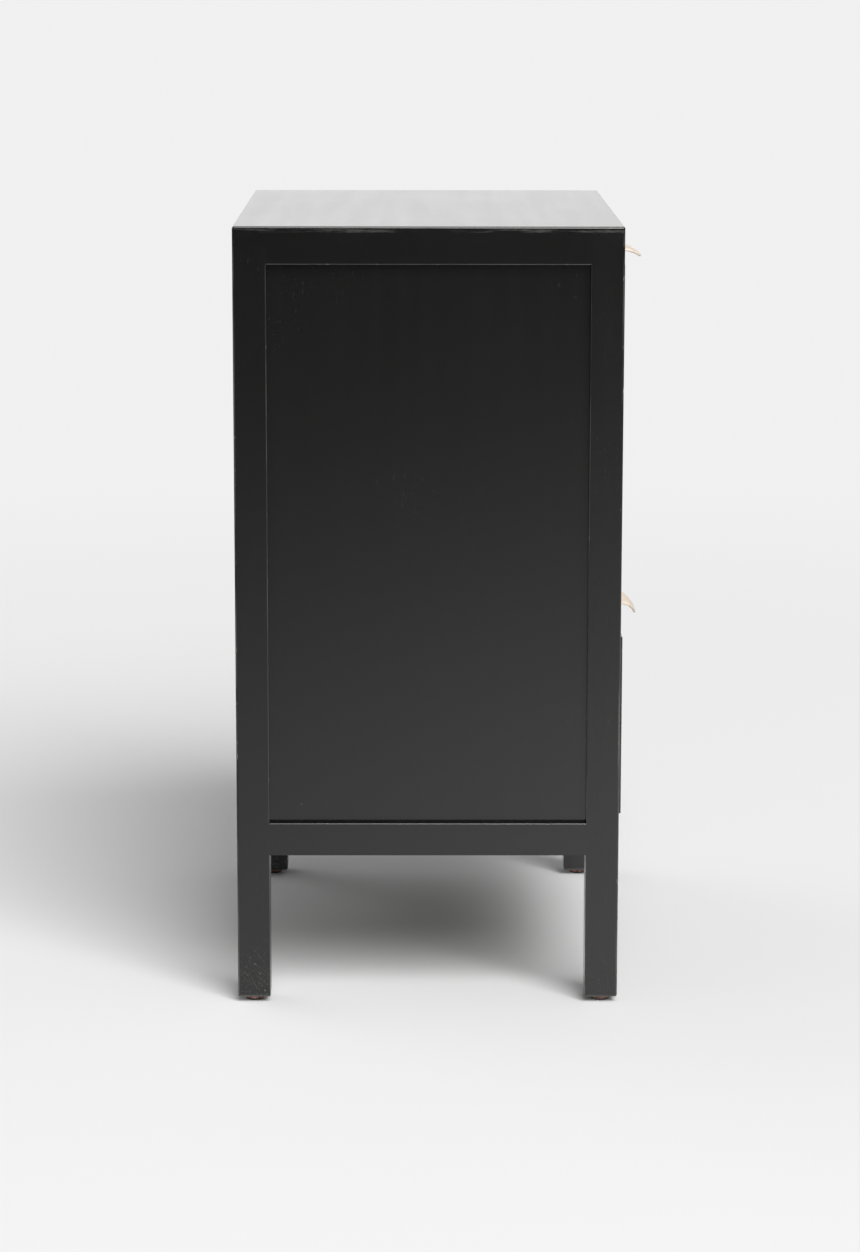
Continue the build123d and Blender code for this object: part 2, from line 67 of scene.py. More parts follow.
# %% Other imports and the places that the lesson measures from
import math

import bmesh
import bpy
from mathutils import Vector, noise

mm = 0.001
scene = bpy.context.scene
carcase_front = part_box("leg_front_left")[0].y
carcase_middle_y = (carcase_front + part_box("leg_back_left")[1].y) / 2
print("middle of the carcase at y =", round(carcase_middle_y / mm, 1), "mm")

# %% [markdown]
# ## The camera
# The camera's place and lens were worked out from the corners of the side panel in the
# photograph: it stands about three and a half metres off the left side, a little above
# the top, and looks slightly down. Its sensor is as long as the picture is high.

# %% Place the camera
camera_place = (-3.4795, carcase_middle_y + 14.8 * mm, 0.9557)
camera_tilt = 79.4467  # degrees from looking straight down
camera_lean = -0.0808
camera_turn = -90.2781
focal_pixels = 3623.5
picture_height = 1252
sensor = 36.0

camera_data = bpy.data.cameras.new("camera")
camera_data.sensor_width = sensor
camera_data.lens = focal_pixels * sensor / picture_height
camera = bpy.data.objects.new("camera", camera_data)
camera.location = camera_place
camera.rotation_euler = [math.radians(a) for a in (camera_tilt, camera_lean, camera_turn)]
scene.collection.objects.link(camera)
scene.camera = camera
scene.view_settings.view_transform = "Standard"
print("lens", round(camera_data.lens, 2), "mm")

# %% [markdown]
# ## Writing shader trees briefly
# A material is a tree of nodes. The first helper below adds one node and wires it in the
# same call: each input is either a plain value or the output socket of an earlier node.
# The others name what comes back often, such as a product or a noise. That keeps a long
# tree readable, because every line says what goes in.

# %% Helpers for nodes and sums
def node(tree, kind, inputs=None, **settings):
    """Adds a node; an input is a value or an output socket to link from."""
    made = tree.nodes.new(kind)
    for name, value in settings.items():
        setattr(made, name, value)
    for name, value in (inputs or {}).items():
        feed(tree, made.inputs[name], value)
    return made


def feed(tree, socket, value):
    if isinstance(value, bpy.types.NodeSocket):
        tree.links.new(value, socket)
    else:
        socket.default_value = value


def maths(tree, operation, *values, clamp=False):
    inputs = dict(enumerate(values))
    made = node(tree, "ShaderNodeMath", inputs, operation=operation, use_clamp=clamp)
    return made.outputs[0]


def chained(tree, operation, first, *others):
    """Any number of values joined by one operation, from left to right."""
    for other in others:
        first = maths(tree, operation, first, other)
    return first


def times(tree, *values):
    return chained(tree, "MULTIPLY", *values)


def plus(tree, *values):
    return chained(tree, "ADD", *values)


def minus(tree, value, less, clamp=False):
    return maths(tree, "SUBTRACT", value, less, clamp=clamp)


def highest(tree, *values):
    return chained(tree, "MAXIMUM", *values)


# %% Helpers for vectors, masks, colours and noise
def combined(tree, x=0.0, y=0.0, z=0.0):
    return node(tree, "ShaderNodeCombineXYZ", {0: x, 1: y, 2: z}).outputs[0]


def axes(tree, vector):
    """The X, Y and Z of a vector as three sockets."""
    return node(tree, "ShaderNodeSeparateXYZ", {0: vector}).outputs


def vector_number(tree, operation, *vectors):
    """One number out of vectors, such as a length or a dot product."""
    inputs = dict(enumerate(vectors))
    return node(tree, "ShaderNodeVectorMath", inputs, operation=operation).outputs[1]


def remap(tree, value, low, high, to_low=0.0, to_high=1.0):
    """A value's low..high becomes to_low..to_high, gently, and is held at the ends."""
    inputs = dict(enumerate((value, low, high, to_low, to_high)))
    made = node(tree, "ShaderNodeMapRange", inputs, interpolation_type="SMOOTHSTEP")
    return made.outputs[0]


def mix_colour(tree, share, first, second):
    made = node(tree, "ShaderNodeMix", {0: share}, data_type="RGBA")
    feed(tree, made.inputs[6], first)
    feed(tree, made.inputs[7], second)
    return made.outputs[2]


def mix_value(tree, share, first, second):
    made = node(tree, "ShaderNodeMix", {0: share}, data_type="FLOAT")
    feed(tree, made.inputs[2], first)
    feed(tree, made.inputs[3], second)
    return made.outputs[0]


def stretched(tree, vector, scale=(1.0, 1.0, 1.0), turn=(0.0, 0.0, 0.0), shift=(0.0, 0.0, 0.0)):
    """Coordinates multiplied by a scale of their own along each axis, turned and shifted."""
    angles = tuple(math.radians(a) for a in turn)
    inputs = {"Vector": vector, "Location": shift, "Rotation": angles, "Scale": scale}
    return node(tree, "ShaderNodeMapping", inputs).outputs[0]


def noisy(tree, vector, scale, detail=2.0, roughness=0.5):
    inputs = {"Vector": vector, "Scale": scale, "Detail": detail, "Roughness": roughness}
    return node(tree, "ShaderNodeTexNoise", inputs).outputs[0]


def streaky(tree, vector, scale, detail=2.0, roughness=0.5):
    """Noise with a fineness of its own along each axis, so that it is drawn out."""
    return noisy(tree, stretched(tree, vector, scale), 1.0, detail, roughness)


def blank_tree(owner):
    """The shader tree of a material or a world, emptied."""
    owner.use_nodes = True
    owner.node_tree.nodes.clear()
    return owner.node_tree


def grey(value):
    return (value, value, value, 1.0)


# %% [markdown]
# ## Floor, light and background
# The object stands on a plain pale floor. One large lamp, high up on the seen side and
# a little towards the front, gives the shadow that the photograph has. It hangs far off,
# so that the floor is lit evenly. A weak lamp on the other side and an even pale sky fill
# the shadows.
#
# What black lacquer shows is mostly what it mirrors: near the floor it mirrors the bright
# floor, and higher up a darker room. So mirror rays, which the Light Path node tells
# apart, find a floor that dims with distance, is brighter towards the front, and lies
# under a sky that is dark on the side of the lamp.

# %% The floor
floor_reach = 40.0
floor_grey = 0.86
floor_fleck = 0.008  # how much paler or darker its flecks are
backdrop_white = 0.875
floor_near = 0.6  # from here on the floor fades into the even backdrop
floor_far = 3.2
mirror_share = 0.80  # of the floor's brightness that mirror rays find close by
mirror_reach = 2.2  # where half of that is left
mirror_fall = 2.2  # how steeply it falls there
mirror_doubling = 0.85  # each such step towards the front doubles it
mirror_least = 0.6
mirror_most = 1.35
dark_room = 0.02


def mirrored_floor(tree, place, distance):
    """The share of the floor's brightness that mirror rays find at a place."""
    outward = maths(tree, "POWER", maths(tree, "DIVIDE", distance, mirror_reach), mirror_fall)
    kept = maths(tree, "DIVIDE", mirror_share, plus(tree, outward, 1.0))
    forward = axes(tree, place)[1]
    slant = maths(tree, "POWER", 0.5, maths(tree, "DIVIDE", forward, mirror_doubling))
    slant = highest(tree, maths(tree, "MINIMUM", slant, mirror_most), mirror_least)
    return times(tree, kept, slant)


def floor_material():
    material = bpy.data.materials.new("floor")
    tree = blank_tree(material)
    place = node(tree, "ShaderNodeTexCoord").outputs["Object"]
    distance = vector_number(tree, "LENGTH", place)
    darker = grey(floor_grey - floor_fleck)
    paler = grey(floor_grey + floor_fleck)
    tone = mix_colour(tree, noisy(tree, place, 300.0), darker, paler)
    matte = node(tree, "ShaderNodeBsdfDiffuse", {"Color": tone}).outputs[0]
    backdrop = node(tree, "ShaderNodeEmission", {"Color": grey(backdrop_white)}).outputs[0]
    room = node(tree, "ShaderNodeEmission", {"Color": grey(dark_room)}).outputs[0]
    path = node(tree, "ShaderNodeLightPath").outputs
    far_away = remap(tree, distance, floor_near, floor_far)
    seen_fade = times(tree, far_away, path["Is Camera Ray"])
    lost = minus(tree, 1.0, mirrored_floor(tree, place, distance), clamp=True)
    mirror_fade = times(tree, lost, path["Is Glossy Ray"])
    seen = node(tree, "ShaderNodeMixShader", {0: seen_fade, 1: matte, 2: backdrop}).outputs[0]
    both = node(tree, "ShaderNodeMixShader", {0: mirror_fade, 1: seen, 2: room}).outputs[0]
    node(tree, "ShaderNodeOutputMaterial", {"Surface": both})
    return material


quarters = ((-1, -1), (1, -1), (1, 1), (-1, 1))
floor_corners = [(x * floor_reach, y * floor_reach, 0.0) for x, y in quarters]
floor_mesh = bpy.data.meshes.new("floor")
floor_mesh.from_pydata(floor_corners, [], [(0, 1, 2, 3)])
floor_mesh.materials.append(floor_material())
floor = bpy.data.objects.new("floor", floor_mesh)
scene.collection.objects.link(floor)
floor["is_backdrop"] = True
print("floor", 2 * floor_reach, "m wide")

# %% The sky and the lamps
sky_level = 0.30
bright_side = (0.74, 0.67, 0.0)  # away from the lamp, where mirror rays find a wall
wall_level = 0.9
wall_from = -0.1  # how far a ray faces the bright side where the wall starts
wall_full = 0.6
ceiling_level = 0.8
ceiling_from = 0.45  # how steeply a ray rises where the ceiling starts
ceiling_full = 0.95
cabinet_middle = (0.0, 0.0, 0.35)


def studio_sky():
    world = bpy.data.worlds.new("studio")
    tree = blank_tree(world)
    direction = node(tree, "ShaderNodeTexCoord").outputs["Generated"]
    towards = vector_number(tree, "DOT_PRODUCT", direction, bright_side)
    rise = axes(tree, direction)[2]
    wall = remap(tree, towards, wall_from, wall_full, dark_room, wall_level)
    ceiling = remap(tree, rise, ceiling_from, ceiling_full, 0.0, ceiling_level)
    mirrored = highest(tree, wall, ceiling)
    path = node(tree, "ShaderNodeLightPath").outputs
    level = mix_value(tree, path["Is Glossy Ray"], sky_level, mirrored)
    level = mix_value(tree, path["Is Camera Ray"], level, backdrop_white)
    sky = node(tree, "ShaderNodeBackground", {"Color": grey(1.0), "Strength": level}).outputs[0]
    node(tree, "ShaderNodeOutputWorld", {"Surface": sky})
    return world


def lamp(name, place, size, watts):
    """A square area lamp that faces the cabinet."""
    data = bpy.data.lights.new(name, "AREA")
    data.size = size
    data.energy = watts
    lamp_object = bpy.data.objects.new(name, data)
    lamp_object.location = place
    aim = Vector(cabinet_middle) - Vector(place)
    lamp_object.rotation_euler = aim.to_track_quat("-Z", "Y").to_euler()
    scene.collection.objects.link(lamp_object)


scene.world = studio_sky()
lamp("key_lamp", place=(-15.0, -6.0, 15.65), size=14.0, watts=5560.0)
lamp("fill_lamp", place=(3.8, 6.2, 4.5), size=5.0, watts=60.0)
print("sky", sky_level)

# %% [markdown]
# ## Effects that several finishes share
# Grain, worn edges, scratches and dust come back in several materials. They could be
# painted for each piece by hand. Here each is a node group with named inputs, built once,
# so that one change reaches every piece. The groups give only masks and heights, and
# every material decides what to do with them.

# %% Helpers for node groups
SOCKET_KINDS = {"Vector": "Vector", "Geometry": "Geometry", "Material": "Material", "Seed": "Int"}


def new_socket(group, label, way):
    """A socket on the outside of a group; it takes a number unless its name says more."""
    kind = "NodeSocket" + SOCKET_KINDS.get(label, "Float")
    return group.interface.new_socket(label, in_out=way, socket_type=kind)


def new_group(name, inputs, outputs, kind="ShaderNodeTree"):
    """An empty group; returns it, its inputs' sockets and its outputs' sockets."""
    group = bpy.data.node_groups.new(name, kind)
    for label, value in inputs.items():
        socket = new_socket(group, label, "INPUT")
        if value is not None:
            socket.default_value = value
    for label in outputs:
        new_socket(group, label, "OUTPUT")
    entry = group.nodes.new("NodeGroupInput").outputs
    leave = group.nodes.new("NodeGroupOutput").inputs
    return group, entry, leave


def use_group(tree, group, **inputs):
    """Puts a group into a tree; underscores in its inputs' names stand for spaces."""
    made = tree.nodes.new("ShaderNodeGroup")
    made.node_tree = group
    for name, value in inputs.items():
        feed(tree, made.inputs[name.replace("_", " ")], value)
    return made.outputs


# %% Wood grain, along the X of the coordinates that it gets
heart_depth = 0.11  # how far below the boards the middle of the tree lies
wander_scale = (3.2, 9.0, 9.0)
season_scale = (2.0, 95.0, 95.0)
fibre_scale = (14.0, 900.0, 900.0)
pore_scale = (55.0, 1500.0, 1500.0)
late_from = 0.35  # share of a ring where the late wood starts
late_to = 0.93
faintest_year = 0.30


def grain_group():
    """Rings round the heart of the tree, fine fibres, and short pores."""
    group, entry, leave = new_group(
        "wood_grain",
        {"Vector": None, "Ring Width": 0.006, "Wander": 0.012},
        ["Rings", "Fibres", "Pores"],
    )
    vector = entry["Vector"]
    wander = minus(group, streaky(group, vector, wander_scale, 3.0), 0.5)
    place = axes(group, vector)
    from_heart = combined(group, y=place[1], z=plus(group, place[2], heart_depth))
    radius = vector_number(group, "LENGTH", from_heart)
    moved = plus(group, radius, times(group, wander, entry["Wander"]))
    ring = maths(group, "FRACT", maths(group, "DIVIDE", moved, entry["Ring Width"]))
    late = remap(group, ring, late_from, late_to)
    ending = remap(group, ring, late_to, 1.0, 1.0, 0.0)
    season = remap(group, streaky(group, vector, season_scale), 0.35, 0.65, faintest_year, 1.0)
    feed(group, leave["Rings"], times(group, late, ending, season))
    feed(group, leave["Fibres"], streaky(group, vector, fibre_scale, 3.0))
    dashes = streaky(group, vector, pore_scale, 1.0)
    feed(group, leave["Pores"], remap(group, dashes, 0.66, 0.74))
    return group


wood_grain = grain_group()
print("group", wood_grain.name)

# %% Worn edges, scratches and dust
patch_stretch = (0.35, 1.0, 1.0)  # worn patches are long along the grain
nick_stretch = (0.6, 1.0, 1.0)
nick_fineness = 240.0
dust_fineness = 48.0
scratch_turns = ((4.0, 9.0, 11.0), (-8.0, 21.0, -17.0))
scratch_scales = ((5.0, 700.0, 700.0), (9.0, 1100.0, 1100.0))


def arris_group():
    """Rounded edges, where a surface faces between two axes, with rubbed parts and chips."""
    group, entry, leave = new_group(
        "rubbed_arris", {"Vector": None, "Patch Size": 25.0}, ["Arris", "Rubbed", "Chips"]
    )
    vector = entry["Vector"]
    normal = node(group, "ShaderNodeTexCoord").outputs["Normal"]
    size = node(group, "ShaderNodeVectorMath", {0: normal}, operation="ABSOLUTE").outputs[0]
    arris = remap(group, highest(group, *axes(group, size)), 0.99, 0.94)
    patches = noisy(group, stretched(group, vector, patch_stretch), entry["Patch Size"], 5.0)
    nicks = noisy(group, stretched(group, vector, nick_stretch), nick_fineness)
    feed(group, leave["Arris"], arris)
    feed(group, leave["Rubbed"], times(group, arris, remap(group, patches, 0.45, 0.60)))
    feed(group, leave["Chips"], times(group, arris, remap(group, nicks, 0.66, 0.72)))
    return group


def edge_group():
    """Where a surface turns over an edge, found by rounding the edge for the light only."""
    group, entry, leave = new_group(
        "worn_edge", {"Vector": None, "Width": 0.003, "Patch Size": 25.0}, ["Edge", "Worn"]
    )
    rounded = node(group, "ShaderNodeBevel", {"Radius": entry["Width"]}, samples=6).outputs[0]
    true_normal = node(group, "ShaderNodeNewGeometry").outputs["True Normal"]
    edge = remap(group, vector_number(group, "DOT_PRODUCT", rounded, true_normal), 0.997, 0.90)
    stretch = stretched(group, entry["Vector"], patch_stretch)
    patches = noisy(group, stretch, entry["Patch Size"], 4.0)
    feed(group, leave["Edge"], edge)
    feed(group, leave["Worn"], times(group, edge, remap(group, patches, 0.42, 0.62)))
    return group


def scratch_group():
    """Fine lines in two directions, only in patches, and scattered dust."""
    group, entry, leave = new_group(
        "scratches_and_dust", {"Vector": None, "Amount": 0.5}, ["Scratches", "Dust"]
    )
    vector = entry["Vector"]
    lines = []
    for turn, scale in zip(scratch_turns, scratch_scales):
        line = streaky(group, stretched(group, vector, turn=turn), scale, 1.0)
        lines.append(remap(group, line, 0.70, 0.76))
    where = remap(group, noisy(group, vector, 7.0), 0.50, 0.68)
    scratches = times(group, highest(group, *lines), where, entry["Amount"])
    feed(group, leave["Scratches"], scratches)
    cells = node(group, "ShaderNodeTexVoronoi", {"Vector": vector, "Scale": dust_fineness})
    chance = node(group, "ShaderNodeSeparateColor", {0: cells.outputs["Color"]}).outputs[0]
    rare = remap(group, chance, 0.80, 0.86)
    spot = remap(group, cells.outputs["Distance"], 0.026, 0.012)
    feed(group, leave["Dust"], times(group, rare, spot))
    return group


rubbed_arris = arris_group()
worn_edge = edge_group()
scratches_and_dust = scratch_group()
print("groups", rubbed_arris.name, worn_edge.name, scratches_and_dust.name)

# %% [markdown]
# ## Black lacquer
# The whole outside is brushed black over wood and then rubbed to a satin sheen. Close by
# it isn't one black: the grain shows through as faint ridges, and the sheen is patchy and
# duller towards the handled front. Edges are rubbed a little greyer and chipped here and
# there, the frames' inner edges carry a painted highlight all along, and the feet carry
# scuffs and grit.
#
# A picture of lacquer could be wrapped round the boards, but it would stretch, and break
# off at every joint. Noise that reads the Object coordinates runs on from board to board.
# The paint is nearly black in itself; a clear coat on top does the mirroring. The grain
# runs along each board, so there is one material for each direction.

# %% What every finish starts from
GRAIN_TURNS = {"x": (0.0, 0.0, 0.0), "y": (0.0, 0.0, 90.0), "z": (0.0, 90.0, 0.0)}


def surface(name):
    """A new material with its principled shader, and where it reads its place."""
    material = bpy.data.materials.new(name)
    tree = blank_tree(material)
    shader = tree.nodes.new("ShaderNodeBsdfPrincipled")
    node(tree, "ShaderNodeOutputMaterial", {"Surface": shader.outputs[0]})
    place = node(tree, "ShaderNodeTexCoord").outputs["Object"]
    return material, tree, shader, place


def finish(tree, shader, colour, roughness, relief, depth, strength):
    """Gives the surface its colour and roughness, and a fine relief for the light only."""
    bump = node(tree, "ShaderNodeBump", {"Height": relief, "Distance": depth, "Strength": strength})
    feed(tree, shader.inputs["Base Color"], colour)
    feed(tree, shader.inputs["Roughness"], roughness)
    feed(tree, shader.inputs["Normal"], bump.outputs[0])


def wear_slots(name, material):
    """Gives a CAD node's slots one material."""
    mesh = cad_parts[name].data
    if not mesh.materials:
        mesh.materials.append(material)
    for index in range(len(mesh.materials)):
        mesh.materials[index] = material


# %% Where the lacquer is worn, and where its painted highlight lies
top_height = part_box("top_board")[1].z
streak_low = top_height - 6 * mm  # a rubbed streak just under the top's edges
streak_high = top_height - 2 * mm
inner_edges_to = carcase_middle_y - carcase_front - 12 * mm  # the frames' inner edges lie within
knocked_up_to = 75 * mm  # scuffs and grit fade out up to here
knocked_below = 12 * mm  # and are at their most from here down
knocked_at_front = 0.2  # share of them at the front feet


def streak_under_top(tree, place, height):
    """A ragged line along the top's lower edges, where the lacquer is rubbed thin."""
    above = remap(tree, height, streak_low, streak_low + 1.5 * mm)
    below = remap(tree, height, streak_high, streak_high - 1 * mm)
    patch = remap(tree, streaky(tree, place, (22.0, 22.0, 300.0)), 0.42, 0.60)
    ragged = streaky(tree, place, (160.0, 160.0, 900.0), 3.0, 0.6)
    ragged = remap(tree, ragged, 0.35, 0.65, 0.25, 1.0)
    return times(tree, above, below, times(tree, patch, ragged))


def knocks_at_feet(tree, place, forward, height):
    """Scuffs with grit, and pale specks, low on the legs and mostly at the back."""
    low_down = remap(tree, height, knocked_up_to, knocked_below)
    back_from = carcase_middle_y
    at_back = remap(tree, forward, back_from, back_from + 100 * mm, knocked_at_front, 1.0)
    low_down = times(tree, low_down, at_back)
    grit = remap(tree, noisy(tree, place, 420.0, 3.0, 0.6), 0.56, 0.66)
    slanting = stretched(tree, place, turn=(38.0, 0.0, 0.0))
    scuffs = remap(tree, streaky(tree, slanting, (60.0, 650.0, 60.0)), 0.58, 0.70)
    specks = remap(tree, noisy(tree, place, 480.0, 1.0), 0.70, 0.73)
    return times(tree, low_down, highest(tree, grit, scuffs)), times(tree, low_down, specks)


def inner_edges(tree, forward):
    """The side frames' edges round the panels, which lie nearer the middle than the outer ones; they
    carry the painted highlight.
    """
    off_middle = maths(tree, "ABSOLUTE", minus(tree, forward, carcase_middle_y))
    return remap(tree, off_middle, inner_edges_to + 6 * mm, inner_edges_to)


print("rubbed streak", round(streak_low / mm), "to", round(streak_high / mm), "mm up")

# %% The lacquer's colours and sheen
lacquer_black = (0.0046, 0.0046, 0.0044, 1.0)
# The worn colour is real wear, and also a painted highlight all along the frames' inner edges
lacquer_worn_and_highlight = (0.050, 0.049, 0.046, 1.0)
lacquer_chip = (0.17, 0.16, 0.14, 1.0)
# On the frames' inner edges this share is mostly a painted highlight, for the light their rounding
# catches, with some wear
inner_edge_highlight_and_wear = 0.45  # how far each kind of wear goes from black to worn
scratch_wear = 0.6
knock_wear = 0.7
smooth_lacquer = 0.205  # roughness
clouded_lacquer = 0.235
worn_roughness = 0.50
brush_sheen = 0.02  # how much the roughness differs from one brush stroke to the next
handled_sheen = 0.045
handled_from = carcase_front + 31 * mm  # in front of this the sheen is duller


def lacquer_sheen(tree, vector, handled, worn_and_highlight):
    """The lacquer's roughness: cloudy, brushed, and duller where it is handled, where it has wear,
    and on the painted highlight.
    """
    sheen = remap(tree, noisy(tree, vector, 5.0, 3.0), 0.3, 0.7, smooth_lacquer, clouded_lacquer)
    film = streaky(tree, vector, (3.0, 60.0, 60.0), 3.0)
    sheen = plus(tree, sheen, remap(tree, film, 0.3, 0.7, -brush_sheen, brush_sheen))
    sheen = plus(tree, sheen, times(tree, handled, handled_sheen))
    return mix_value(tree, worn_and_highlight, sheen, worn_roughness)


print("dull in front of y =", round(handled_from / mm, 1), "mm")

# %% The whole lacquer
def black_lacquer(along):
    """Lacquer on a board whose grain runs along x, y or z."""
    material, tree, shader, place = surface(f"black_lacquer_{along}")
    middle = (0.0, -carcase_middle_y, 0.0)
    vector = stretched(tree, place, turn=GRAIN_TURNS[along], shift=middle)
    grain = use_group(tree, wood_grain, Vector=vector, Ring_Width=9 * mm)
    arris = use_group(tree, rubbed_arris, Vector=vector, Patch_Size=22.0)
    marks = use_group(tree, scratches_and_dust, Vector=vector, Amount=0.4)
    forward, height = axes(tree, place)[1:]
    below_top = remap(tree, height, streak_high, streak_low)
    knocks, specks = knocks_at_feet(tree, place, forward, height)

    rubbed = times(tree, arris["Rubbed"], below_top)
    # Painted highlight: the frames' inner edges are lighter all along, for the light they catch; the
    # patches above are real wear
    inner_highlight = times(tree, arris["Arris"], inner_edges(tree, forward), below_top)
    rubbed = highest(tree, rubbed, times(tree, inner_highlight, inner_edge_highlight_and_wear))
    rubbed = highest(tree, rubbed, streak_under_top(tree, place, height))
    scratched = times(tree, marks["Scratches"], scratch_wear)
    # From here the mask holds real wear and the painted highlight on the inner edges
    worn_and_highlight = highest(tree, rubbed, scratched, times(tree, knocks, knock_wear))
    chips = times(tree, arris["Chips"], below_top)
    bare = highest(tree, times(tree, marks["Dust"], 0.8), chips, specks)
    colour = mix_colour(tree, worn_and_highlight, lacquer_black, lacquer_worn_and_highlight)
    colour = mix_colour(tree, bare, colour, lacquer_chip)

    handled = remap(tree, forward, handled_from, handled_from - 3 * mm)
    sheen = lacquer_sheen(tree, vector, times(tree, handled, below_top), worn_and_highlight)
    relief = plus(
        tree,
        times(tree, grain["Rings"], 0.30),
        times(tree, grain["Fibres"], 0.35),
        times(tree, noisy(tree, place, 260.0), 0.5),
        times(tree, marks["Dust"], 1.5),
    )
    relief = minus(tree, relief, times(tree, worn_and_highlight, 0.6))
    finish(tree, shader, colour, sheen, relief, depth=0.03 * mm, strength=0.6)
    shader.inputs["Coat Weight"].default_value = 0.8
    shader.inputs["Coat Roughness"].default_value = 0.12
    return material


lacquer = {along: black_lacquer(along) for along in GRAIN_TURNS}

# %% Which boards are lacquered, by the way their grain runs
sides = ("left", "right")
ends = ("front", "back")
levels = ("top", "bottom")
drawers = [f"{level}_drawer" for level in levels]
upright_boards = ["back_panel"] + [f"side_panel_{side}" for side in sides]
upright_boards += [f"{side}_door_board" for side in sides]
upright_boards += [f"leg_{end}_{side}" for end in ends for side in sides]
level_boards = ["top_board"] + [f"{drawer}_front" for drawer in drawers]
level_boards += [f"{end}_{level}_rail" for end in ends for level in levels]
side_rails = [f"side_{level}_rail_{side}" for level in levels for side in sides]
for along, names in (("z", upright_boards), ("x", level_boards), ("y", side_rails)):
    for name in names:
        wear_slots(name, lacquer[along])
print("lacquered", len(upright_boards + level_boards + side_rails), "boards")

# %% [markdown]
# ## Plain wood inside
# Inside, such cabinets are left as planed softwood: the shelves and runners somewhat
# darker and dustier, the drawer boxes paler. The bottom board's underside is painted
# dark as painted shade, which darkens the shadow on the floor under the cabinet.
#
# A picture of planks would show the same knots on every board. The grain group cuts each
# board out of an imaginary tree instead, with rings round its heart, so that the lines on
# a board's face, edge and end belong together.

# %% The plain woods
wood_dirt = (0.16, 0.11, 0.07, 1.0)
wood_pore = (0.20, 0.12, 0.07, 1.0)
# Painted shade: the colour of faces that face down, which darkens the shadow under the cabinet
underside_shade_colour = (0.022, 0.022, 0.018, 1.0)
shelf = {"early": (0.38, 0.295, 0.19, 1.0), "late": (0.235, 0.17, 0.10, 1.0)}
shelf.update({"ring_width": 7.5 * mm, "dirt": 0.5})
drawer_box = {"early": (0.66, 0.52, 0.35, 1.0), "late": (0.46, 0.31, 0.17, 1.0)}
drawer_box.update({"ring_width": 6.5 * mm, "dirt": 0.2})
ring_wander = 0.07
heart_shift = (0.0, 0.0, 13 * mm)  # rings that differ from the outside's


def plain_wood(name, along, early, late, ring_width, dirt, underside_shade=0.0):
    """Planed wood, dirty to a share, with painted shade (a dark colour) on what faces down if asked
    for.
    """
    material, tree, shader, place = surface(f"{name}_{along}")
    vector = stretched(tree, place, turn=GRAIN_TURNS[along], shift=heart_shift)
    grain = use_group(tree, wood_grain, Vector=vector, Ring_Width=ring_width, Wander=ring_wander)
    edge = use_group(tree, worn_edge, Vector=vector, Width=2 * mm)
    rings, fibres, pores = grain
    tone = plus(tree, times(tree, rings, 0.75), times(tree, fibres, 0.25))
    colour = mix_colour(tree, tone, early, late)
    dirty = remap(tree, noisy(tree, vector, 8.0, 4.0), 0.40, 0.75, 0.0, dirt)
    colour = mix_colour(tree, dirty, colour, wood_dirt)
    colour = mix_colour(tree, times(tree, pores, 0.45), colour, wood_pore)
    colour = mix_colour(tree, times(tree, edge["Worn"], 0.25), colour, early)
    # Painted shade on the faces that face down
    if underside_shade:
        normal = node(tree, "ShaderNodeTexCoord").outputs["Normal"]
        below = remap(tree, axes(tree, normal)[2], -0.5, -0.9)
        colour = mix_colour(tree, times(tree, below, underside_shade), colour, underside_shade_colour)
    rough = remap(tree, tone, 0.0, 1.0, 0.72, 0.55)
    relief = minus(tree, times(tree, fibres, 0.5), pores)
    relief = plus(tree, relief, times(tree, rings, 0.5))
    finish(tree, shader, colour, rough, relief, depth=0.08 * mm, strength=0.7)
    return material


# %% Which pieces are plain wood
shelf_wood = {along: plain_wood("shelf_wood", along, **shelf) for along in "xy"}
drawer_wood = {along: plain_wood("drawer_wood", along, **drawer_box) for along in "xy"}
underside_shaded_wood = plain_wood("underside_shaded_wood", "x", **shelf, underside_shade=0.93)

# The bottom board's underside carries painted shade
wear_slots("bottom_board", underside_shaded_wood)
for name in ("lower_shelf", "upper_shelf", "drawer_stops"):
    wear_slots(name, shelf_wood["x"])
strips = ["drawer_guide_bottom", "drawer_guide_top", "drawer_kicker"]
strips += ["shelf_batten_lower", "shelf_batten_upper"]
for side in sides:
    for strip in strips:
        wear_slots(f"{strip}_{side}", shelf_wood["y"])
for drawer in drawers:
    for side in sides:
        wear_slots(f"{drawer}_side_{side}", drawer_wood["y"])
    for piece in ("back", "bottom", "pegs"):
        wear_slots(f"{drawer}_{piece}", drawer_wood["x"])
print("plain woods", len(shelf_wood) + len(drawer_wood) + 1)

# %% [markdown]
# ## Metal
# Knobs, bushes and screws are brass that has lost its polish: clouds of brown tarnish,
# and fine rings from the lathe on the knobs. Pivot plates and the screws under the top
# are plain steel. One even metal would look like new plastic. A metal's colour comes from
# its reflection, so one cloudy mask changes both the colour and the roughness.

# %% Metal colours, and rings from the lathe
brass = {"bright": (0.76, 0.56, 0.27, 1.0), "tarnish": (0.22, 0.13, 0.05, 1.0)}
steel = {"bright": grey(0.56), "tarnish": (0.20, 0.18, 0.16, 1.0)}
lathe_step = 0.35 * mm  # from one turned ring to the next
knob_low, knob_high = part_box("right_door_knob")
knob_centre = ((knob_low.x + knob_high.x) / 2, (knob_low.z + knob_high.z) / 2)


def lathe_rings(tree, place, centre):
    """Waves round a centre that both knobs have, at the same distance off the middle."""
    across, _, height = axes(tree, place)
    across = minus(tree, maths(tree, "ABSOLUTE", across), centre[0])
    flat = combined(tree, across, minus(tree, height, centre[1]))
    radius = vector_number(tree, "LENGTH", flat)
    return maths(tree, "SINE", times(tree, radius, 2 * math.pi / lathe_step))


print("knobs", [round(place / mm, 1) for place in knob_centre], "mm off the middle and up")

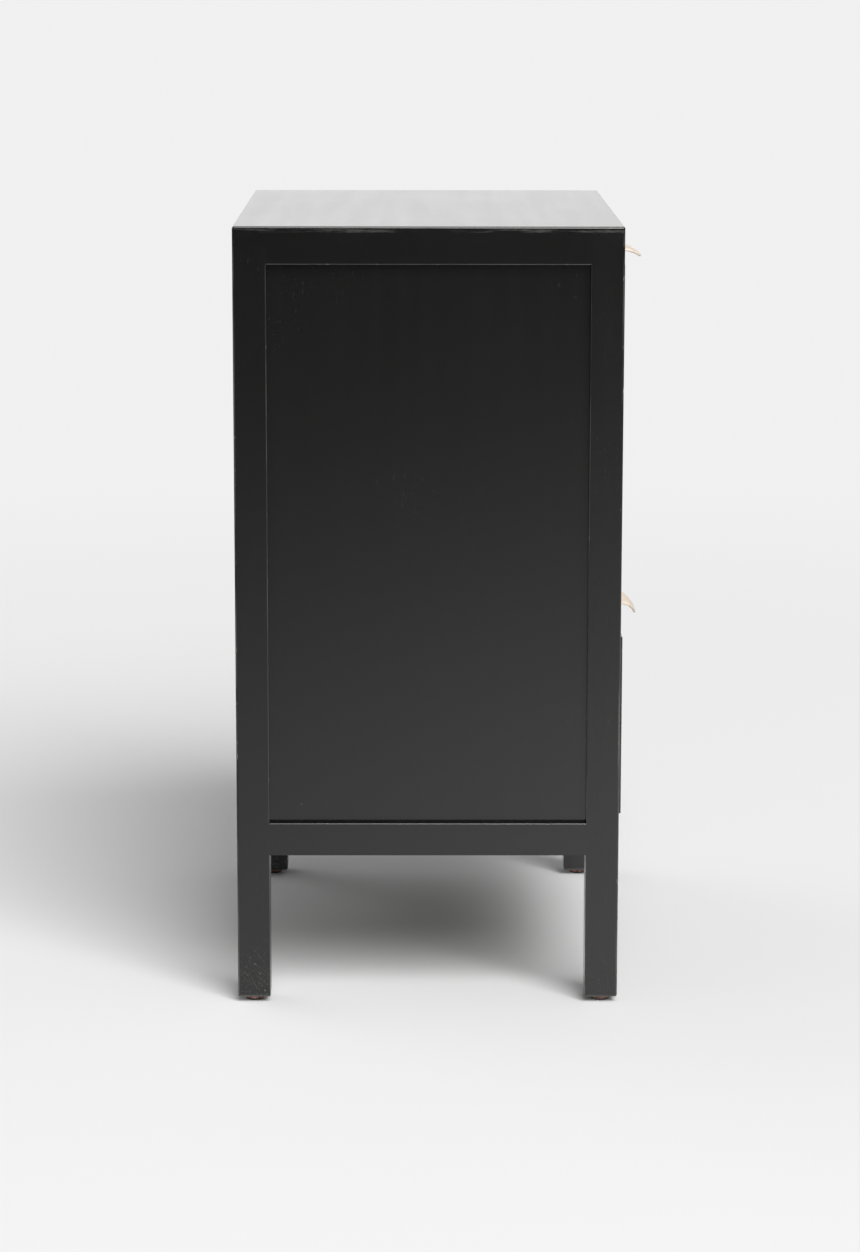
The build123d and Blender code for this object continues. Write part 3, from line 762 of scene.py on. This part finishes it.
# %% Brass and steel
def tarnished_metal(name, bright, tarnish, smooth, rough, tarnish_share, ring_centre=None):
    """Metal that is dull in clouds, up to a share, and brighter on its edges."""
    material, tree, shader, place = surface(name)
    cloud = noisy(tree, place, 160.0, 5.0, 0.6)
    edge = use_group(tree, worn_edge, Vector=place, Width=0.8 * mm, Patch_Size=200.0)
    dull = remap(tree, cloud, 0.35, 0.70, 0.0, tarnish_share)
    dull = minus(tree, dull, times(tree, edge["Edge"], 0.5), clamp=True)
    colour = mix_colour(tree, dull, bright, tarnish)
    sheen = mix_value(tree, dull, smooth, rough)
    relief = noisy(tree, place, 900.0)
    if ring_centre:
        wave = lathe_rings(tree, place, ring_centre)
        relief = plus(tree, times(tree, wave, 0.4), relief)
    finish(tree, shader, colour, sheen, relief, depth=0.02 * mm, strength=0.5)
    shader.inputs["Metallic"].default_value = 1.0
    return material


knob_brass = tarnished_metal(
    "knob_brass", **brass, smooth=0.24, rough=0.48, tarnish_share=0.7, ring_centre=knob_centre
)
screw_brass = tarnished_metal("screw_brass", **brass, smooth=0.30, rough=0.50, tarnish_share=0.8)
plain_steel = tarnished_metal("plain_steel", **steel, smooth=0.30, rough=0.52, tarnish_share=0.6)
for side in sides:
    wear_slots(f"{side}_door_knob", knob_brass)
    wear_slots(f"{side}_door_bushes", screw_brass)
    wear_slots(f"{side}_door_strike", plain_steel)
wear_slots("pivot_plates", plain_steel)
wear_slots("door_magnets", plain_steel)
print("metals: brass, steel")

# %% [markdown]
# ## Slotted screws
# The CAD screws have plain heads. A Geometry Nodes tree makes a better one, with a
# domed head and a slot, and puts a copy on every point of a small mesh of screw places.
# One screw could be modelled and copied by hand, but the tree's sizes are inputs, so it
# makes all three kinds. Each copy is turned by a random angle, because a joiner leaves
# the slots as they come.

# %% Helpers for geometry trees
smooth_up_to = math.radians(35.0)  # a sharper edge than this stays sharp


def new_geometry_tree(name, sizes):
    """A tree that gets a mesh of places, sizes, a seed and a material, and gives a mesh."""
    inputs = {"Geometry": None, **sizes, "Material": None}
    return new_group(name, inputs, ["Geometry"], "GeometryNodeTree")


def moved_mesh(tree, geometry, place, scale=(1.0, 1.0, 1.0)):
    inputs = {"Geometry": geometry, "Translation": place, "Scale": scale}
    return node(tree, "GeometryNodeTransform", inputs).outputs[0]


def rod(tree, radius, length, sides_round):
    """An upright cylinder round the origin."""
    inputs = {"Vertices": sides_round, "Radius": radius, "Depth": length}
    return node(tree, "GeometryNodeMeshCylinder", inputs).outputs[0]


def scattered(tree, entry, leave, piece, tilt=0.0):
    """Ends a tree: copies of a piece on the points, turned at random, as one real mesh."""
    turn = node(tree, "FunctionNodeRandomValue", {"Seed": entry["Seed"]}, data_type="FLOAT")
    turn.inputs[3].default_value = 2 * math.pi
    angles = combined(tree, tilt, 0.0, turn.outputs[1])
    rotation = node(tree, "FunctionNodeEulerToRotation", {0: angles}).outputs[0]
    inputs = {"Points": entry["Geometry"], "Instance": piece, "Rotation": rotation}
    copies = node(tree, "GeometryNodeInstanceOnPoints", inputs).outputs[0]
    real = node(tree, "GeometryNodeRealizeInstances", {0: copies}).outputs[0]
    inputs = {"Geometry": real, "Material": entry["Material"]}
    feed(tree, leave["Geometry"], node(tree, "GeometryNodeSetMaterial", inputs).outputs[0])


def grow(name, tree, points, values):
    """Runs a tree on a mesh of points and returns the result as a plain object."""
    seedling_mesh = bpy.data.meshes.new(name + "_places")
    seedling_mesh.from_pydata([tuple(p) for p in points], [], [])
    seedling = bpy.data.objects.new(name + "_places", seedling_mesh)
    scene.collection.objects.link(seedling)
    modifier = seedling.modifiers.new("grow", "NODES")
    modifier.node_group = tree
    for item in tree.interface.items_tree:
        if item.in_out == "INPUT" and item.name in values:
            modifier[item.identifier] = values[item.name]
    depsgraph = bpy.context.evaluated_depsgraph_get()
    mesh = bpy.data.meshes.new_from_object(seedling.evaluated_get(depsgraph))
    bpy.data.objects.remove(seedling)
    mesh.name = name
    made = bpy.data.objects.new(name, mesh)
    scene.collection.objects.link(made)
    mesh.shade_smooth()
    mesh.set_sharp_from_angle(angle=smooth_up_to)
    print(name, len(mesh.polygons), "faces on", len(points), "places")
    return made


# %% The screw
just_inside = 0.998  # a dome this much smaller than the head doesn't share its rim


def screw_tree():
    """A screw with its head's rim at height 0: a cone, a dome and a shank, cut by a slot."""
    tree, entry, leave = new_geometry_tree(
        "slotted_screw",
        {
            "Head Radius": 3 * mm,
            "Neck Radius": 1.5 * mm,
            "Head Height": 1.5 * mm,
            "Dome Height": 0.5 * mm,
            "Shank Radius": 1.5 * mm,
            "Length": 12 * mm,
            "Slot Width": 0.7 * mm,
            "Slot Depth": 0.8 * mm,
            "Tilt": 0.0,
            "Seed": 3,
        },
    )
    head_radius = entry["Head Radius"]
    dome_height = entry["Dome Height"]
    cone_sizes = {
        "Vertices": 32,
        "Radius Top": head_radius,
        "Radius Bottom": entry["Neck Radius"],
        "Depth": entry["Head Height"],
    }
    head = node(tree, "GeometryNodeMeshCone", cone_sizes).outputs[0]
    head = moved_mesh(tree, head, combined(tree, z=times(tree, entry["Head Height"], -1.0)))
    ball_sizes = {"Segments": 32, "Rings": 12, "Radius": head_radius}
    ball = node(tree, "GeometryNodeMeshUVSphere", ball_sizes).outputs[0]
    squat = maths(tree, "DIVIDE", dome_height, head_radius)
    dome = moved_mesh(tree, ball, (0.0, 0.0, 0.0), combined(tree, just_inside, just_inside, squat))
    shank = rod(tree, entry["Shank Radius"], entry["Length"], 24)
    shank = moved_mesh(tree, shank, combined(tree, z=times(tree, entry["Length"], -0.5)))
    body = node(tree, "GeometryNodeMeshBoolean", operation="UNION", solver="EXACT")
    for part in (head, dome, shank):
        tree.links.new(part, body.inputs["Mesh 2"])
    slot_height = times(tree, plus(tree, entry["Slot Depth"], dome_height), 2.0)
    slot_size = combined(tree, times(tree, head_radius, 3.0), entry["Slot Width"], slot_height)
    slot = node(tree, "GeometryNodeMeshCube", {"Size": slot_size}).outputs[0]
    slot = moved_mesh(tree, slot, combined(tree, z=times(tree, dome_height, 2.0)))
    cut = node(tree, "GeometryNodeMeshBoolean", operation="DIFFERENCE", solver="EXACT")
    tree.links.new(body.outputs[0], cut.inputs["Mesh 1"])
    tree.links.new(slot, cut.inputs["Mesh 2"])
    scattered(tree, entry, leave, cut.outputs[0], entry["Tilt"])
    return tree


slotted_screw = screw_tree()
print("tree", slotted_screw.name)

# %% Where each plain screw stands
def solids_of(name):
    """The lowest and highest corner of each separate solid of a CAD node."""
    copy = bmesh.new()
    copy.from_mesh(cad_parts[name].data)
    bmesh.ops.remove_doubles(copy, verts=copy.verts, dist=0.001 * mm)
    seen = set()
    boxes = []
    for first in copy.verts:
        if first in seen:
            continue
        seen.add(first)
        waiting = [first]
        solid = []
        while waiting:
            vertex = waiting.pop()
            solid.append(vertex.co.copy())
            for link in vertex.link_edges:
                other = link.other_vert(vertex)
                if other not in seen:
                    seen.add(other)
                    waiting.append(other)
        boxes.append([Vector([pick(along) for along in zip(*solid)]) for pick in (min, max)])
    copy.free()
    return boxes


def screws_for(name, body, material, sizes, upside_down=False):
    """Slotted screws in place of a CAD node of plain ones."""
    places = []
    for low, high in solids_of(name):
        middle = (low + high) / 2
        places.append((middle.x, middle.y, low.z if upside_down else high.z))
    values = {"Material": material, "Tilt": math.pi if upside_down else 0.0, **sizes}
    made = grow(name + "_slotted", slotted_screw, places, values)
    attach(made, body)
    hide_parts(name)


domed = {"Dome Height": 1.2 * mm, "Length": 13 * mm, "Seed": 5}
flush = {"Dome Height": 0.15 * mm, "Length": 9 * mm, "Seed": 8}
stout = {"Head Radius": 4 * mm, "Neck Radius": 3.4 * mm, "Head Height": 4 * mm}
stout.update({"Slot Width": 1 * mm, "Slot Depth": 1.4 * mm, "Length": 25 * mm, "Seed": 11})
for drawer in drawers:
    screws_for(f"{drawer}_pull_screws", drawer, screw_brass, domed)
screws_for("pivot_screws", "cabinet", plain_steel, flush)
screws_for("top_screws", "cabinet", plain_steel, stout, upside_down=True)

# %% [markdown]
# ## The brown glides
# Each leg stands on a squat brown glide that narrows to the floor. In the photograph
# they are mottled reddish brown, nearly black low down, and a little uneven. A turned
# profile would come out too perfect. So the tree takes a cone with many rings, draws its
# lower rings in to a rounded rim, and pushes the wall in and out by a little noise.

# %% The shape of a glide
glide_sizes = {
    "Top Radius": 9.5 * mm,
    "Foot Radius": 8.0 * mm,
    "Height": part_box("leg_front_left")[0].z,
    "Rounding": 1.5 * mm,
    "Unevenness": 0.5 * mm,
    "Nail Radius": 1.25 * mm,
    "Nail Length": 14 * mm,
}


def glide_tree():
    """A glide that stands on the floor, with a nail up into the leg."""
    tree, entry, leave = new_geometry_tree("brown_glide", {**glide_sizes, "Seed": 2})
    cone_sizes = {
        "Vertices": 56,
        "Side Segments": 14,
        "Fill Segments": 5,
        "Radius Top": entry["Top Radius"],
        "Radius Bottom": entry["Foot Radius"],
        "Depth": entry["Height"],
    }
    cone = node(tree, "GeometryNodeMeshCone", cone_sizes).outputs[0]
    position = node(tree, "GeometryNodeInputPosition").outputs[0]
    across, forward, height = axes(tree, position)
    rounding = entry["Rounding"]
    below = highest(tree, minus(tree, rounding, height), 0.0)
    reach = minus(tree, times(tree, rounding, rounding), times(tree, below, below))
    drawn_in = minus(tree, rounding, maths(tree, "SQRT", reach))
    uneven = minus(tree, noisy(tree, position, 260.0), 0.5)
    pushed = times(tree, uneven, entry["Unevenness"])
    share = maths(tree, "DIVIDE", minus(tree, pushed, drawn_in), entry["Foot Radius"])
    offset = combined(tree, times(tree, across, share), times(tree, forward, share))
    foot = node(tree, "GeometryNodeSetPosition", {"Geometry": cone, "Offset": offset}).outputs[0]
    nail = rod(tree, entry["Nail Radius"], entry["Nail Length"], 16)
    middle = plus(tree, entry["Height"], times(tree, entry["Nail Length"], 0.5))
    nail = moved_mesh(tree, nail, combined(tree, z=middle))
    both = node(tree, "GeometryNodeJoinGeometry")
    for part in (nail, foot):
        tree.links.new(part, both.inputs[0])
    scattered(tree, entry, leave, both.outputs[0])
    return tree


# %% The glides' colour, and the glides
glide_dark = (0.085, 0.036, 0.026, 1.0)
glide_light = (0.36, 0.20, 0.16, 1.0)
# Painted shade: nearly black low down, where the glide meets the floor
glide_foot_shade = (0.012, 0.010, 0.009, 1.0)


def glide_material():
    material, tree, shader, place = surface("brown_glide")
    height = axes(tree, place)[2]
    mottle = noisy(tree, place, 330.0, 4.0, 0.65)
    colour = mix_colour(tree, remap(tree, mottle, 0.40, 0.60), glide_dark, glide_light)
    # Painted shade near the floor
    colour = mix_colour(tree, remap(tree, height, 2.4 * mm, 1.2 * mm), colour, glide_foot_shade)
    rough = remap(tree, mottle, 0.3, 0.7, 0.42, 0.68)
    finish(tree, shader, colour, rough, mottle, depth=0.25 * mm, strength=0.8)
    return material


glide_places = []
for low, high in solids_of("leg_glides"):
    glide_places.append(((low.x + high.x) / 2, (low.y + high.y) / 2, 0.0))
glide_values = {"Material": glide_material(), "Seed": 2}
glides = grow("leg_glides_turned", glide_tree(), glide_places, glide_values)
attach(glides, "cabinet")
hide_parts("leg_glides")

# %% [markdown]
# ## The leather pulls
# Each drawer is pulled by a half-moon tab of pale tan leather, screwed down in the top
# edge of the front. It comes out flat, bends over and hangs down a little, the lower one
# more than the upper.
#
# A flat outline could be thickened with Solidify and then bent, but its rim would stay
# square. So the tab is one closed sheet made strip by strip: for each place across the
# width, a strip runs from the rim, round the bend and along the flat to the root. At the
# rim both faces come together in a rounded, polished edge.

# %% The sizes of a tab
tab_root = 13 * mm
tab_flat = 5 * mm
tab_thickness = 2.5 * mm
tab_rim = 1.15 * mm  # how far in from the rim its rounding starts
tab_least = 0.02 * mm  # how far the tab's two corners come out
tab_droop = {"top_drawer": 9.5 * mm, "bottom_drawer": 16.5 * mm}
tab_sag = 1.2 * mm  # about how much lower than its middle the rim hangs at the sides
sag_waves = 45.0  # fineness of the waves in that
sag_downward = 0.8  # more than most waves rise, so that nearly all of it is downward
tab_columns = 120
tab_rows = 44
rim_rows = 7
tab_smooth_up_to = math.radians(50.0)
print("a tab has", tab_columns, "by", tab_rows, "faces on each side")

# %% The shape of a tab
def tab_strips(low, high, droop):
    """Strips from the rim to the root: place across, run from the root, lift and sag.

    Also returns the function that turns a run and a lift into Y and Z.
    """
    half = (high.x - low.x) / 2
    reach = high.y - low.y - tab_root
    face = high.y - tab_root
    turn = 2 * math.atan(droop / (reach - tab_flat))
    bend = (reach - tab_flat) / math.sin(turn)  # the top face's radius
    middle_bend = bend - tab_thickness / 2
    moon = (reach**2 + half**2) / (2 * reach)  # the radius of the half-moon outline
    full_run = tab_root + tab_flat + middle_bend * turn

    def on_sheet(run, lift):
        """Y and Z of a place by its run from the root and its lift off the middle."""
        if run <= tab_root + tab_flat:
            return high.y - run, high.z - tab_thickness / 2 + lift
        angle = (run - tab_root - tab_flat) / middle_bend
        radius = middle_bend + lift
        return face - tab_flat - radius * math.sin(angle), high.z - bend + radius * math.cos(angle)

    strips = []
    for column in range(tab_columns + 1):
        across = -half * math.cos(math.pi * column / tab_columns)
        ahead = max(math.sqrt(moon**2 - across**2) - (moon - reach), tab_least)
        if ahead > tab_flat:
            bent = middle_bend * math.asin(min((ahead - tab_flat) / bend, 1.0))
            run_end = tab_root + tab_flat + bent
        else:
            run_end = tab_root + ahead
        slant = math.cos(math.asin(min(abs(across) / moon, 1.0)))
        runs = [run_end - tab_rim * (step / rim_rows) ** 2 for step in range(rim_rows + 1)]
        body_rows = tab_rows - rim_rows
        runs += [runs[-1] * (1 - step / body_rows) for step in range(1, body_rows + 1)]
        strip = []
        for run in runs:
            from_rim = min((run_end - run) * slant / tab_rim, 1.0)
            lift = tab_thickness / 2 * math.sqrt(max(1 - (1 - from_rim) ** 2, 0.0))
            loose = max(run - tab_root, 0.0) / full_run
            place = Vector((across, run, 0.3 * droop))  # with the droop, so that tabs differ
            wave = noise.noise(place * sag_waves) - sag_downward
            sag = tab_sag * loose**2 * wave * (across / half) ** 2
            strip.append((across, run, lift, sag))
        strips.append(strip)
    return strips, on_sheet


# %% The faces of a tab
def sew(shape, tops, unders):
    """Faces over and under the tab, across its root, and down its two ends."""

    def face(corners, flip=False):
        corners = list(dict.fromkeys(corners))  # the rim's points lie on both faces
        shape.faces.new(corners[::-1] if flip else corners)

    for column in range(tab_columns):
        for row in range(tab_rows):
            for sheet, flip in ((tops, False), (unders, True)):
                here, beside = sheet[column], sheet[column + 1]
                face((here[row], beside[row], beside[row + 1], here[row + 1]), flip)
        face((tops[column][-1], tops[column + 1][-1], unders[column + 1][-1], unders[column][-1]))
    for side, flip in ((0, True), (tab_columns, False)):
        over, under = tops[side], unders[side]
        for row in range(tab_rows):
            face((over[row], over[row + 1], under[row + 1], under[row]), flip)


# %% A whole tab
def leather_tab(name, drawer):
    """A closed half-moon sheet in the place of the CAD tab."""
    low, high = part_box(f"{drawer}_pull")
    strips, on_sheet = tab_strips(low, high, tab_droop[drawer])
    mesh = bpy.data.meshes.new(name)
    shape = bmesh.new()
    flat_layer = shape.verts.layers.float_vector.new("flat_place")

    def point(across, run, lift, sag):
        y, z = on_sheet(run, lift)
        vertex = shape.verts.new((across, y, z + sag))
        vertex[flat_layer] = (across, run, lift)
        return vertex

    tops = []
    unders = []
    for rim, *inward in strips:
        rim_point = point(*rim)
        tops.append([rim_point] + [point(*place) for place in inward])
        unders.append([rim_point] + [point(a, r, -l, s) for a, r, l, s in inward])
    sew(shape, tops, unders)
    bmesh.ops.recalc_face_normals(shape, faces=shape.faces)
    shape.to_mesh(mesh)
    shape.free()
    mesh.shade_smooth()
    mesh.set_sharp_from_angle(angle=tab_smooth_up_to)
    tab = bpy.data.objects.new(name, mesh)
    scene.collection.objects.link(tab)
    print(name, len(mesh.polygons), "faces")
    return tab


# %% [markdown]
# Leather this thick is dyed through. Its face has fine pores and a few soft creases, is
# rubbed darker where fingers hold it, and its cut rim is burnished brown and darker still
# as painted shade. The sheet carries its flat coordinates, so the creases follow it round
# the bend.

# %% The leather
leather_pale = (0.86, 0.755, 0.64, 1.0)
leather_tan = (0.80, 0.675, 0.545, 1.0)
leather_handled = (0.64, 0.49, 0.36, 1.0)
leather_crease = (0.52, 0.39, 0.28, 1.0)
# The rim's colour is partly real burnish and partly painted shade
leather_rim_burnish_and_shade = (0.50, 0.38, 0.29, 1.0)
burnished = 0.34  # the rim's roughness
pore_fineness = 950.0


def leather_material():
    material, tree, shader, place = surface("tan_leather")
    flat_place = node(tree, "ShaderNodeAttribute", attribute_name="flat_place").outputs[1]
    run = axes(tree, flat_place)[1]
    rim = use_group(tree, worn_edge, Vector=place, Width=1.6 * mm, Patch_Size=120.0)["Edge"]
    cells = node(tree, "ShaderNodeTexVoronoi", {"Vector": place, "Scale": pore_fineness})
    broad = noisy(tree, place, 75.0, 4.0)
    fine = noisy(tree, place, 1300.0, 3.0)
    crease = remap(tree, streaky(tree, flat_place, (25.0, 210.0, 0.0), 3.0), 0.55, 0.66)
    on_bend = remap(tree, run, tab_root + tab_flat, tab_root + 3 * tab_flat)
    crease = times(tree, crease, on_bend)
    handled = remap(tree, run, tab_root + 10 * mm, tab_root + 26 * mm, 0.0, 0.5)
    handled = times(tree, handled, remap(tree, broad, 0.35, 0.7))
    colour = mix_colour(tree, remap(tree, broad, 0.3, 0.7), leather_pale, leather_tan)
    colour = mix_colour(tree, handled, colour, leather_handled)
    colour = mix_colour(tree, times(tree, crease, 0.35), colour, leather_crease)
    # The rim is darker: burnished, and partly painted shade
    colour = mix_colour(tree, times(tree, rim, 0.45), colour, leather_rim_burnish_and_shade)
    rough = mix_value(tree, rim, remap(tree, fine, 0.3, 0.7, 0.42, 0.60), burnished)
    pores = remap(tree, cells.outputs["Distance"], 0.10, 0.45)
    relief = plus(tree, times(tree, pores, 0.6), times(tree, fine, 0.4))
    relief = minus(tree, relief, times(tree, crease, 1.2))
    finish(tree, shader, colour, rough, relief, depth=0.12 * mm, strength=0.6)
    shader.inputs["Sheen Weight"].default_value = 0.08
    return material


# %% Put the pulls on the drawers
tan_leather = leather_material()
for drawer in drawers:
    tab = leather_tab(f"{drawer}_leather_pull", drawer)
    tab.data.materials.append(tan_leather)
    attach(tab, drawer)
    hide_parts(f"{drawer}_pull")

# %% [markdown]
# ## Sizes
# The dressed cabinet's box and the CAD model's box are printed side by side. The
# dressed cabinet has to stay inside the CAD model's box.

# %% The sizes, side by side
seen_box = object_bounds()
sizes = {"cad": [list(corner) for corner in cad_box], "visual": [list(corner) for corner in seen_box]}
for label, corners in sizes.items():
    print(label, [[round(value / mm, 1) for value in corner] for corner in corners])
